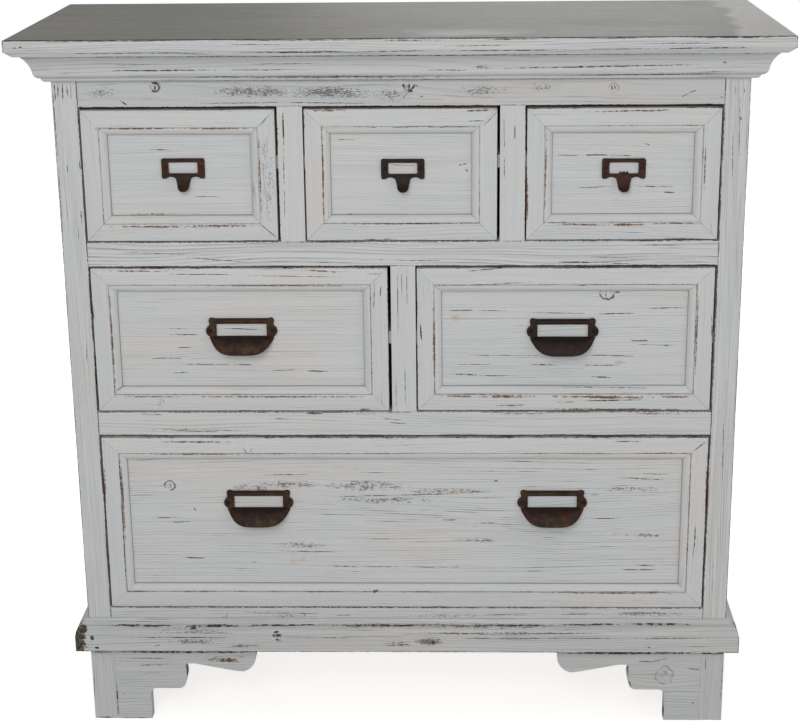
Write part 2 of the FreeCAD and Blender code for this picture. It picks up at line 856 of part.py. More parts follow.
def build_drawer(name, row, opening):
    """All the nodes of one drawer."""
    gap_left, gap_right, gap_top, gap_bottom = drawer_gaps[name]
    left, right = opening[0] + gap_left, opening[1] - gap_right
    low, high = row["sill"] + gap_bottom, row["head"] - gap_top
    face_y = front_y + front_frame_thickness
    board = drawer_box(name, row, left, right, low, high)
    save(name + "_front_frame", drawer_front_frame(left, right, low, high, face_y))

    pulls = []
    shift_right, shift_up = pull_shifts[name]
    for place in row["pull_places"]:
        across = (left + right) / 2 + place + shift_right
        level = (row["sill"] + row["head"]) / 2 + row["pull_rise"] + shift_up
        if row["pull"] == "cup":
            solids, drop = cup_pull(), cup_drop
        else:
            solids, drop = card_pull(name == "top_right_drawer"), card_drop
        for solid in solids:
            solid.translate(V(across, face_y, level + drop / 2))
        pulls += solids
        board = cut_all(board, solids[1:])
    save(name + "_front_board", [board])
    save(name + ("_pull" if len(row["pull_places"]) == 1 else "_pulls"), pulls)


for row in rows:
    for name, opening in zip(row["drawers"], opening_edges(row)):
        build_drawer(name, row, opening)
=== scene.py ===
import math

import bpy
from mathutils import Matrix, Vector


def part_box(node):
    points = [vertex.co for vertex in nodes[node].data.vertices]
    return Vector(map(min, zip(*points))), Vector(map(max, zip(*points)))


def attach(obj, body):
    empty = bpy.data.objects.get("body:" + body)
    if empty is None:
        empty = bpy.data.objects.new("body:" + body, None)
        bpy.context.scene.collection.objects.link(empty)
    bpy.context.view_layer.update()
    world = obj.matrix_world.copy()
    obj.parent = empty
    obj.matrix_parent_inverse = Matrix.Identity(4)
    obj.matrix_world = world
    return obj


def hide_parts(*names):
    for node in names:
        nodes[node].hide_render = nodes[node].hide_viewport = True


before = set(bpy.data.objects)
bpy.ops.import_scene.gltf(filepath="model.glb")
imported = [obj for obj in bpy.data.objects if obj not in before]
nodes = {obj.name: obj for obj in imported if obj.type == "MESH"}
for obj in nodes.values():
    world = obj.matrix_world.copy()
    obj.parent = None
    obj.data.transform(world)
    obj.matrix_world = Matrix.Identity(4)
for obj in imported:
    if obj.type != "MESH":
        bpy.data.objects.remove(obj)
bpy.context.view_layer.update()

# The chest's looks: worn white paint on pine, dark iron pulls, bare wood inside.
# All sizes are metres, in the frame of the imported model.

MM = 0.001

drawer_names = [
    "top_left_drawer", "top_middle_drawer", "top_right_drawer",
    "middle_left_drawer", "middle_right_drawer", "bottom_drawer",
]
front_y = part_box("front_left_post")[0].y


# Node trees, written as sums and products

class Term:
    """A value in a node tree that can be added, multiplied and compared."""

    def __init__(self, graph, socket):
        self.graph = graph
        self.socket = socket

    def __add__(self, other):
        return self.graph.math("ADD", self, other)

    __radd__ = __add__

    def __sub__(self, other):
        return self.graph.math("SUBTRACT", self, other)

    def __rsub__(self, other):
        return self.graph.math("SUBTRACT", other, self)

    def __mul__(self, other):
        return self.graph.math("MULTIPLY", self, other)

    __rmul__ = __mul__

    def __truediv__(self, other):
        return self.graph.math("DIVIDE", self, other)

    def __abs__(self):
        return self.graph.math("ABSOLUTE", self)

    def least(self, other):
        return self.graph.math("MINIMUM", self, other)

    def most(self, other):
        return self.graph.math("MAXIMUM", self, other)


class Graph:
    """A material's node tree, with short calls that add nodes to it."""

    def __init__(self, name):
        self.material = bpy.data.materials.new(name)
        self.material.use_nodes = True
        self.tree = self.material.node_tree
        self.shader = self.tree.nodes["Principled BSDF"]
        place = self.add("TexCoord").outputs["Object"]
        split = self.add("SeparateXYZ", place)
        self.x, self.y, self.z = (Term(self, socket) for socket in split.outputs)
        turned = self.add("SeparateXYZ", self.add("NewGeometry").outputs["Normal"])
        self.up = Term(self, turned.outputs[2])
        self.forward = Term(self, turned.outputs[1]) * -1.0

    def feed(self, socket, value):
        """Links a value to a socket, or sets the socket to a plain number."""
        if isinstance(value, Term):
            value = value.socket
        if isinstance(value, bpy.types.NodeSocket):
            self.tree.links.new(value, socket)
        elif value is not None:
            socket.default_value = value

    def add(self, kind, *inputs, **settings):
        """A shader node of a kind, with its inputs in order."""
        node = self.tree.nodes.new("ShaderNode" + kind)
        for key, value in settings.items():
            setattr(node, key, value)
        for socket, value in zip(node.inputs, inputs):
            self.feed(socket, value)
        return node

    def math(self, operation, *values, clamp=False):
        node = self.add("Math", *values, operation=operation, use_clamp=clamp)
        return Term(self, node.outputs[0])

    def clamped(self, value):
        """A value kept between 0 and 1."""
        return self.math("ADD", value, 0.0, clamp=True)

    def rise(self, value, low, high):
        """0 below low, 1 above high, and smooth between them. With low above high it falls."""
        node = self.add("MapRange", value, low, high, 0.0, 1.0, interpolation_type="SMOOTHSTEP")
        return Term(self, node.outputs[0])

    def noise(self, x, y, z, detail=2.0, roughness=0.5):
        """Noise around 0.5, whose grain is as fine as x, y and z are scaled up."""
        place = self.add("CombineXYZ", x, y, z)
        node = self.add("TexNoise")
        self.feed(node.inputs["Vector"], place.outputs[0])
        node.inputs["Scale"].default_value = 1.0
        node.inputs["Detail"].default_value = detail
        node.inputs["Roughness"].default_value = roughness
        return Term(self, node.outputs[0])

    def distance(self, place, centre, half, turn=0.0):
        """How far a point is from a centre, where 1 is the rim of an ellipsoid turned about Y."""
        node = self.add("Mapping", place, centre, (0.0, turn, 0.0), half, vector_type="TEXTURE")
        return Term(self, self.add("VectorMath", node.outputs[0], operation="LENGTH").outputs["Value"])

    def mix(self, factor, first, second):
        """The first colour at factor 0 and the second at 1."""
        node = self.add("Mix", data_type="RGBA")
        self.feed(node.inputs[0], factor)
        self.feed(node.inputs[6], colour(first))
        self.feed(node.inputs[7], colour(second))
        return node.outputs[2]

    def shade(self, base, factor):
        """A colour made lighter or darker."""
        node = self.add("VectorMath", operation="SCALE")
        self.feed(node.inputs[0], base)
        self.feed(node.inputs["Scale"], factor)
        return node.outputs[0]

    def bump(self, height, distance, strength=1.0):
        """Small relief: height is from 0 to 1, and distance is its real depth."""
        node = self.add("Bump")
        node.inputs["Strength"].default_value = strength
        node.inputs["Distance"].default_value = distance
        self.feed(node.inputs["Height"], height)
        self.feed(self.shader.inputs["Normal"], node.outputs[0])


def colour(value):
    """A colour given as three parts of 255 on the screen, as the shader needs it."""
    if isinstance(value, tuple) and len(value) == 3:
        return tuple(
            part / 255 / 12.92 if part / 255 <= 0.04045 else ((part / 255 + 0.055) / 1.055) ** 2.4
            for part in value
        ) + (1.0,)
    return value


# Colours of the paint, the wood and the iron

PAINT = (200, 201, 202)
PAINT_WARM = (203, 198, 192)
# Painted shade: the upper face of the top takes these darker greys, as less light falls on it than on the
# front
TOP_PAINT_SHADED = (114, 113, 106)
TOP_PAINT_WARM_SHADED = (117, 114, 104)
TOP_PALE = (188, 186, 180)
# The colour of dirt, and of the painted shade and shadow lines
DIRT_AND_SHADE = (46, 42, 41)
RUB = (142, 114, 90)
PINE = (203, 170, 126)
PINE_DARK = (178, 140, 96)
CHIP = (104, 92, 70)
IRON = (44, 33, 30)
IRON_RUST = (82, 47, 32)
IRON_OLIVE = (84, 68, 42)
IRON_GLINT = (150, 134, 112)
IRON_HOLE_SHADE = (14, 11, 10)

# On the top: where its pale end starts, and the middle and half size of a pale patch
TOP_END = 0.455
TOP_PALE_MIDDLE = (0.085, -0.165, 1.03)
TOP_PALE_HALF = (0.09, 0.05, 100.0)

# Below this height no edges are worn, and the paint is this much darker, as painted shade where the light
# falls off towards the floor
FEET_TOP = 0.121
FEET_SHADE = 0.07

# A half size, in metres, that reaches through the whole chest
ANY_DEPTH = 100.0

# Section of the mouldings round a drawer front: where the flat band and the bead end, how high
# the band stands, how far it steps down to the bead, the lip at the panel, and the rounding
BAND = 0.024
BEAD_END = 0.035
FRAME_HEIGHT = 0.009
FRAME_STEP = 0.0008
FRAME_LIP = 0.0012
ARRIS = 0.0007
BEAD_BULGE = 0.16
MITRE_GAP = 0.00015

# Marks on the front are millimetres: x from the middle, z from the floor. A crack or a rub has
# its two ends and its thickness. A speck patch has a middle, half its width, half its height and
# a strength. A knot has a middle, a radius and a strength. A chip has a middle (x, y, z) and half
# its size. Some cracks are painted shadow lines, and some speck patches are partly painted
# shade, as noted at them.

MARKS = {
    "frieze_rail": {
        "cracks": [
            (-379, 938, -370, 932, 1.8), (-277, 934, -150, 935, 0.9), (-187, 945, -175, 946, 1.2),
            (-163, 945, -158, 945, 1.6), (-155, 935, -40, 933, 1.0), (28, 942, 31, 942, 1.6),
            (159, 928, 162, 928, 1.4), (432, 939, 435, 939, 1.4), (378, 939, 402, 950, 0.9),
            (-326, 961, -325, 954, 4.6), (-335, 951, -327, 951, 3.6), (-338, 959, -337, 953, 2.0),
            (-336, 962, -328, 963, 2.4), (-331, 959, -331, 955, 3.8), (5, 958, 8, 952, 3.2),
            (9, 950, 16, 950, 4.6), (17, 952, 20, 957, 3.0), (10, 957, 10, 954, 2.0),
            (13, 958, 13, 953, 2.4), (22, 957, 25, 956, 1.6), (286, 955, 286, 950, 1.4),
            (290, 955, 290, 951, 1.2),
        ],
        "specks": [
            (-204, 950, 62, 9, 1.2), (-402, 949, 26, 9, 0.7), (-93, 948, 82, 10, 1.2),
            (-12, 943, 28, 10, 1.1), (114, 950, 42, 9, 0.7), (187, 955, 36, 7, 0.7),
        ],
        "knots": [(288, 952, 6.4, 0.45), (-331, 957, 5.4, 1.5)],
    },
    "upper_rail": {
        "cracks": [
            (-392, 727, -290, 723, 0.8), (-300, 719, -215, 712, 1.0), (-30, 715, -26, 715, 1.6),
            (-15, 714, 60, 713, 0.8), (213, 711, 275, 710, 1.8), (275, 710, 320, 708, 1.0),
            (250, 718, 330, 717, 0.8), (330, 735, 385, 734, 1.0),
        ],
    },
    "middle_rail": {
        "cracks": [
            (-376, 488, -345, 487, 1.2), (-190, 481, -160, 480, 0.9), (-140, 489, -115, 489, 2.2),
            (-335, 463, -262, 461, 1.0), (-290, 464, -220, 462, 0.8), (-70, 488, -35, 488, 0.9),
            (-30, 481, 2, 478, 0.9), (-20, 475, 5, 473, 1.1), (115, 488, 215, 488, 0.9),
        ],
        "specks": [(-330, 464, 60, 3, 0.6), (360, 488, 50, 2, 0.6)],
    },
    "bottom_rail": {
        "cracks": [
            (-423, 165, -360, 165, 0.8), (-397, 161, -355, 161, 0.8), (-273, 168, -266, 167, 1.6),
            (-267, 167, -264, 176, 1.0), (-247, 176, -112, 175, 0.8), (-152, 176, -149, 172, 1.5),
            (-105, 172, -78, 172, 0.9), (115, 173, 190, 175, 0.9), (228, 174, 285, 175, 1.0),
            (311, 177, 402, 176, 1.5),
        ],
        "specks": [
            (358, 175, 60, 5, 1.0), (263, 175, 42, 3, 0.8), (-169, 170, 52, 5, 0.8),
            (-365, 165, 60, 3, 0.6), (60, 172, 90, 4, 0.6),
        ],
    },
    "front_left_post": {
        "cracks": [
            (-436, 963, -436, 947, 1.4), (-441, 856, -440, 843, 1.4), (-443, 788, -443, 762, 1.6),
            (-448, 762, -449, 742, 1.0), (-471, 961, -470, 856, 0.9), (-470, 856, -471, 740, 0.8),
            (-436, 648, -437, 596, 1.4), (-437, 596, -439, 509, 1.0), (-448, 593, -449, 565, 0.8),
            # The stroke at z 111 is a painted shadow line under the base moulding
            (-458, 852, -458, 839, 0.8), (-469, 100, -472, 27, 0.8), (-473, 111, -438, 111, 3.2),
            (-470, 2, -440, 1, 2.2), (-468, 962, -468, 938, 1.6), (-463, 961, -464, 944, 1.4),
            (-457, 962, -458, 935, 1.6), (-451, 961, -451, 946, 1.4), (-446, 962, -446, 940, 1.6),
        ],
    },
    "front_right_post": {
        "cracks": [
            (452, 952, 452, 944, 1.0), (464, 952, 464, 942, 1.0), (461, 912, 461, 908, 1.5),
            (458, 944, 461, 852, 0.8), (451, 900, 453, 822, 0.8), (456, 480, 458, 380, 0.8),
            # The stroke at z 111 is a painted shadow line under the base moulding
            (445, 104, 446, 83, 0.9), (471, 106, 470, 30, 0.9), (438, 111, 473, 111, 3.2),
        ],
    },
    "dividers": {
        "cracks": [
            (-159, 922, -159, 868, 2.2), (-160, 866, -160, 820, 1.2), (-160, 818, -161, 770, 0.8),
            (141, 916, 142, 870, 1.4), (142, 860, 142, 828, 1.2), (156, 903, 156, 881, 1.2),
            (7, 700, 7, 640, 0.9), (0, 702, 0, 660, 0.8), (-6, 700, -6, 600, 0.8),
            (3, 560, 3, 500, 0.9), (-10, 540, -10, 495, 0.8),
        ],
    },
    "top_board": {
        "cracks": [
            (-508, 1017, -505, 1017, 1.8), (-500, 1018, -497, 1018, 1.8),
            (-450, 1009, -230, 1009, 1.0), (-215, 1009, -60, 1009, 1.9), (-60, 1009, 40, 1010, 1.1),
            (60, 1010, 230, 1010, 1.4), (250, 1011, 330, 1011, 0.9), (340, 1011, 470, 1012, 1.7),
            (-20, 1024, 60, 1024, 1.2), (110, 1024, 190, 1025, 1.4), (240, 1025, 320, 1025, 1.0),
            (380, 1025, 500, 1025, 1.5), (-230, 1020, -140, 1019, 0.7), (60, 1016, 150, 1017, 0.8),
            (330, 1018, 420, 1018, 0.7),
        ],
        "rubs": [(-500, 1025, -260, 1025, 1.0), (-250, 1025, -40, 1025, 1.0)],
    },
    "front_cornice": {
        "cracks": [
            # The strokes at z 1002 and z 966 are painted shadow lines, under the top board and under the
            # cornice's foot
            (-500, 1002, 500, 1002, 1.4), (-390, 982, -245, 982, 1.7), (-230, 982, -120, 982, 0.9),
            (-275, 972, -187, 972, 1.9), (-187, 972, 0, 971, 1.6), (30, 981, 95, 980, 1.1),
            (130, 982, 415, 986, 1.5), (190, 971, 450, 973, 1.9), (-380, 990, -330, 990, 0.9),
            (-200, 990, -100, 991, 0.8), (240, 984, 246, 984, 3.0), (430, 989, 434, 989, 2.4),
            (-440, 966, 440, 966, 0.8),
        ],
        "specks": [(-60, 971, 180, 3, 1.3), (114, 984, 16, 3, 1.1)],
    },
    "front_base_moulding": {
        "cracks": [
            (-447, 160, -330, 160, 1.5), (-330, 159, -240, 160, 2.6), (-245, 160, -120, 161, 1.4),
            (-120, 160, 60, 161, 1.6), (60, 160, 230, 161, 1.3), (230, 161, 320, 162, 1.7),
            (320, 162, 425, 162, 2.4), (-370, 151, -250, 151, 1.0), (40, 151, 120, 151, 1.6),
            (120, 151, 300, 152, 0.9), (-430, 144, -250, 144, 1.4), (-190, 144, -60, 144, 1.0),
            (60, 144, 330, 144, 1.3), (-338, 135, -291, 137, 1.2), (-265, 129, -218, 132, 1.4),
            (-372, 130, -364, 132, 1.3), (-30, 131, 10, 134, 1.2), (357, 131, 360, 129, 1.6),
            (-191, 141, -186, 139, 4.0), (24, 140, 34, 139, 5.0), (32, 137, 46, 136, 6.5),
            (-317, 157, -310, 158, 4.0), (330, 144, 450, 145, 1.2), (-197, 147, -184, 148, 4.6),
            (-195, 152, -188, 153, 3.0),
        ],
        "specks": [
            # The long, low speck patches along z 151 to 160 lie in the moulding's hollow: partly grime,
            # partly painted shade of the hollow
            (-312, 137, 44, 5, 1.0), (-241, 130, 28, 4, 1.0), (-320, 155, 60, 5, 0.8),
            (34, 138, 24, 7, 2.2), (-10, 134, 26, 5, 1.0), (110, 160, 150, 3, 1.2),
            (-60, 160, 60, 3, 1.0), (140, 151, 160, 3, 0.9),
        ],
        "chips": [
            (-488, -182, 131, 13, 13, 14), (-485, -181, 143, 11, 13, 11),
            (-480, -178, 154, 8, 10, 8), (-465, -184, 143, 3, 9, 4), (-459, -184, 127, 3, 9, 2),
        ],
    },
    "front_brackets": {
        "cracks": [
            (-421, 101, -356, 101, 1.2), (-404, 89, -364, 90, 1.4), (-253, 104, -243, 103, 1.4),
            (-427, 42, -425, 41, 1.8), (345, 98, 366, 97, 1.2), (366, 97, 389, 103, 1.2),
            (418, 86, 438, 84, 1.5), (381, 81, 388, 80, 1.7), (428, 29, 431, 28, 1.6),
            # The strokes at z 111 are painted shadow lines under the base moulding
            (-438, 111, -225, 111, 3.2), (225, 111, 438, 111, 3.2), (-330, 88, -329, 70, 3.0),
            (-437, 62, -437, 2, 2.0), (-437, 1, -388, 1, 1.4), (331, 83, 331, 68, 2.4),
            (332, 66, 336, 57, 1.8), (-384, 26, -384, 4, 1.8), (385, 30, 386, 6, 1.6),
        ],
        "specks": [(-282, 102, 27, 4, 0.7), (-280, 99, 24, 6, 1.2)],
        "knots": [(384, 75, 13.0, 0.35)],
        "rubs": [(-276, 98, -256, 97, 7.0)],
    },
    "top_left_drawer_front_board": {
        "cracks": [(-347, 869, -315, 869, 1.4), (-290, 803, -250, 803, 0.7)],
        "specks": [(-339, 778, 60, 3, 0.8)],
    },
    "top_left_drawer_front_frame": {
        "cracks": [
            (-342, 900, -316, 900, 1.2), (-243, 742, -169, 743, 1.5), (-198, 769, -169, 744, 0.9),
            (-193, 901, -176, 920, 0.8),
        ],
        "rubs": [
            (-415, 900, -306, 900, 2.2), (-306, 900, -195, 899, 1.8), (-407, 763, -296, 763, 2.0),
            (-296, 764, -204, 764, 2.0), (-193, 895, -193, 769, 2.0), (-170, 846, -168, 743, 2.4),
        ],
        "specks": [(-290, 763, 110, 3, 0.8), (-182, 830, 12, 80, 0.5)],
    },
    "top_middle_drawer_front_board": {
        "cracks": [
            (-89, 882, -61, 882, 0.9), (-16, 847, 22, 845, 0.8), (81, 846, 83, 846, 1.8),
            (86, 847, 90, 848, 1.8), (89, 840, 92, 837, 1.8), (-74, 778, -68, 778, 1.3),
        ],
    },
    "top_middle_drawer_front_frame": {
        "cracks": [
            (-13, 900, 16, 900, 1.3), (31, 900, 108, 900, 1.0), (-48, 901, -31, 900, 1.0),
            (-59, 744, 0, 744, 1.2), (112, 900, 132, 921, 0.8), (-12, 766, 55, 766, 1.2),
            (91, 908, 118, 909, 0.9),
        ],
        "rubs": [
            (-130, 923, -68, 924, 2.4), (83, 922, 135, 924, 2.4), (-106, 897, -107, 767, 2.4),
            (-101, 766, 102, 766, 1.6), (-130, 922, -132, 884, 1.8),
        ],
    },
    "top_right_drawer_front_board": {
        "cracks": [
            (213, 859, 249, 859, 0.8), (249, 859, 286, 859, 1.6), (286, 859, 315, 858, 1.0),
            (243, 814, 291, 815, 0.8), (319, 815, 377, 815, 0.9), (341, 815, 350, 815, 1.6),
            (362, 807, 376, 806, 1.6), (334, 875, 340, 873, 0.9),
        ],
    },
    "top_right_drawer_front_frame": {
        "cracks": [(325, 920, 362, 922, 1.5), (415, 880, 415, 810, 1.6), (354, 744, 438, 742, 1.6)],
        "rubs": [
            (173, 845, 174, 759, 2.4), (212, 765, 284, 763, 2.0), (284, 764, 338, 763, 2.8),
            (342, 765, 412, 765, 1.6), (259, 920, 362, 922, 1.8), (199, 895, 198, 781, 1.6),
        ],
    },
    "middle_left_drawer_front_board": {
        "cracks": [
            (-334, 613, -304, 613, 0.8), (-331, 604, -281, 604, 1.4), (-320, 585, -300, 585, 1.0),
            (-257, 613, -198, 611, 1.0), (-360, 569, -312, 569, 0.8), (-319, 560, -242, 559, 0.9),
            (-242, 560, -212, 559, 1.2), (-195, 551, -141, 551, 0.8), (-140, 550, -109, 549, 1.5),
            (-328, 547, -304, 548, 1.2),
        ],
    },
    "middle_left_drawer_front_frame": {
        "cracks": [
            (-334, 695, -229, 694, 0.9), (-229, 693, -73, 690, 0.9), (-288, 678, -50, 677, 1.1),
            (-403, 514, -314, 514, 1.3), (-38, 680, -40, 642, 1.2), (-29, 677, -31, 660, 1.4),
            (-50, 694, -29, 695, 1.4), (-436, 651, -435, 627, 1.3), (-410, 523, -397, 530, 0.9),
        ],
        "rubs": [
            (-409, 700, -328, 699, 1.8), (-136, 701, -87, 697, 2.0), (-411, 673, -411, 522, 2.0),
            (-314, 514, -47, 514, 1.8), (-63, 495, -50, 495, 3.6), (-20, 662, -19, 592, 2.0),
        ],
        "knots": [(-347, 506, 4.2, 0.5)],
    },
    "middle_right_drawer_front_board": {
        "cracks": [
            (298, 665, 304, 665, 2.2), (61, 639, 107, 639, 1.2), (107, 639, 147, 638, 0.9),
            (187, 635, 262, 634, 1.0), (267, 633, 330, 634, 1.5), (320, 594, 349, 594, 1.5),
            (329, 588, 360, 588, 0.8), (360, 587, 386, 587, 1.4), (84, 573, 205, 572, 0.8),
            (251, 573, 335, 571, 1.2), (75, 559, 127, 559, 0.9), (177, 559, 220, 558, 1.4),
            (255, 558, 312, 557, 1.2), (72, 545, 107, 543, 1.6), (107, 543, 151, 542, 1.2),
            (264, 541, 297, 539, 1.6),
        ],
        "rubs": [(333, 641, 393, 642, 1.2)],
        "knots": [(287, 663, 8.8, 0.9)],
    },
    "middle_right_drawer_front_frame": {
        "cracks": [
            (212, 527, 362, 525, 0.8), (90, 698, 147, 703, 1.2), (73, 677, 181, 682, 1.0),
            (246, 677, 267, 678, 1.8), (413, 672, 413, 542, 1.6), (128, 500, 177, 501, 1.4),
            (249, 507, 342, 509, 1.7), (217, 505, 249, 506, 1.1), (139, 491, 438, 491, 1.4),
            (25, 624, 27, 597, 2.0),
        ],
        "rubs": [
            (46, 515, 110, 514, 2.0), (110, 514, 183, 514, 4.0), (206, 514, 359, 512, 3.6),
            (359, 513, 408, 513, 2.0), (44, 663, 45, 530, 2.6), (206, 495, 400, 494, 2.0),
            (432, 638, 439, 554, 2.0),
        ],
        "specks": [(290, 494, 90, 3, 0.8)],
    },
    "bottom_drawer_front_board": {
        "cracks": [
            (-206, 391, -133, 392, 1.2), (-112, 357, -6, 360, 1.2), (-309, 341, -306, 335, 1.6),
            (-346, 317, -312, 318, 1.2), (-371, 324, -329, 325, 1.0), (-183, 271, -100, 270, 1.2),
            (-326, 261, -292, 260, 1.5), (-115, 248, -69, 246, 1.6), (-69, 247, -8, 246, 1.1),
            (-226, 253, -220, 254, 1.9), (307, 387, 342, 386, 1.3), (327, 386, 373, 384, 1.5),
            (345, 393, 383, 392, 1.0), (130, 382, 135, 382, 2.2), (269, 360, 282, 360, 1.6),
            (53, 321, 77, 321, 1.4), (106, 316, 139, 316, 1.3), (258, 324, 317, 323, 1.1),
            (6, 246, 67, 246, 1.1), (69, 245, 79, 245, 2.2), (313, 242, 367, 242, 1.5),
            (337, 250, 364, 248, 1.4),
        ],
        "rubs": [(-7, 360, 71, 362, 1.8)],
        "specks": [
            (-170, 377, 54, 7, 1.0), (-220, 372, 36, 7, 0.9), (-55, 374, 69, 10, 1.0),
            (-150, 281, 48, 7, 0.8), (62, 366, 81, 6, 0.8), (328, 369, 54, 5, 0.8),
            (350, 297, 39, 4, 0.8), (106, 289, 39, 5, 0.8), (-30, 352, 90, 6, 0.9),
        ],
        "knots": [(-342, 374, 7.5, 0.8)],
    },
    "bottom_drawer_front_frame": {
        "cracks": [
            (-232, 437, -225, 426, 1.1), (-218, 437, -223, 426, 1.0), (-412, 423, -412, 366, 1.5),
            (-412, 366, -413, 208, 1.2), (301, 446, 341, 446, 1.3), (422, 317, 422, 274, 1.6),
            (413, 430, 431, 444, 1.2), (-198, 181, -192, 181, 1.6),
        ],
        "rubs": [
            (-346, 446, -244, 445, 2.6), (-389, 427, -234, 426, 1.8), (-410, 417, -410, 297, 2.2),
            (-434, 411, -436, 336, 2.0), (-48, 210, -40, 212, 3.2), (435, 426, 436, 306, 2.0),
            (202, 209, 412, 208, 1.8), (325, 428, 410, 428, 1.4),
        ],
    },
    "side_base_mouldings": {
        "chips": [
            (-490, -180, 134, 13, 14, 16), (-482, -168, 152, 9, 16, 8), (486, -168, 152, 8, 16, 8),
        ],
    },
}


def strokes(g, place, marks, reach):
    """How far a point is from the nearest of the strokes, where 1 is a stroke's rim.

    reach is the distance at which a stroke fades out, and each is made that much shorter.
    """
    nearest = None
    for x0, z0, x1, z1, thickness in marks:
        centre = ((x0 + x1) / 2 * MM, 0.0, (z0 + z1) / 2 * MM)
        length = math.hypot(x1 - x0, z1 - z0) / reach + thickness
        half = (length / 2 * MM, ANY_DEPTH, (thickness / 2 + 0.05) * MM)
        far = g.distance(place, centre, half, math.atan2(z0 - z1, x1 - x0))
        nearest = far if nearest is None else nearest.least(far)
    return nearest


def pine_colour(g, u, v, w, seed):
    """Bare pine: long grain with darker late-wood lines."""
    warp = g.noise(u * 3.0 + seed, v * 12.0, w * 12.0) * 0.006
    rings = g.noise(u * 2.0, (v + warp) * 230.0 + seed, (w + warp) * 230.0, 3.0)
    fine = g.noise(u * 25.0, v * 1400.0, w * 1400.0 + seed, 2.0)
    tone = g.rise(rings, 0.38, 0.68)
    base = g.mix(tone, PINE, PINE_DARK)
    return g.shade(base, 0.86 + fine * 0.28), rings


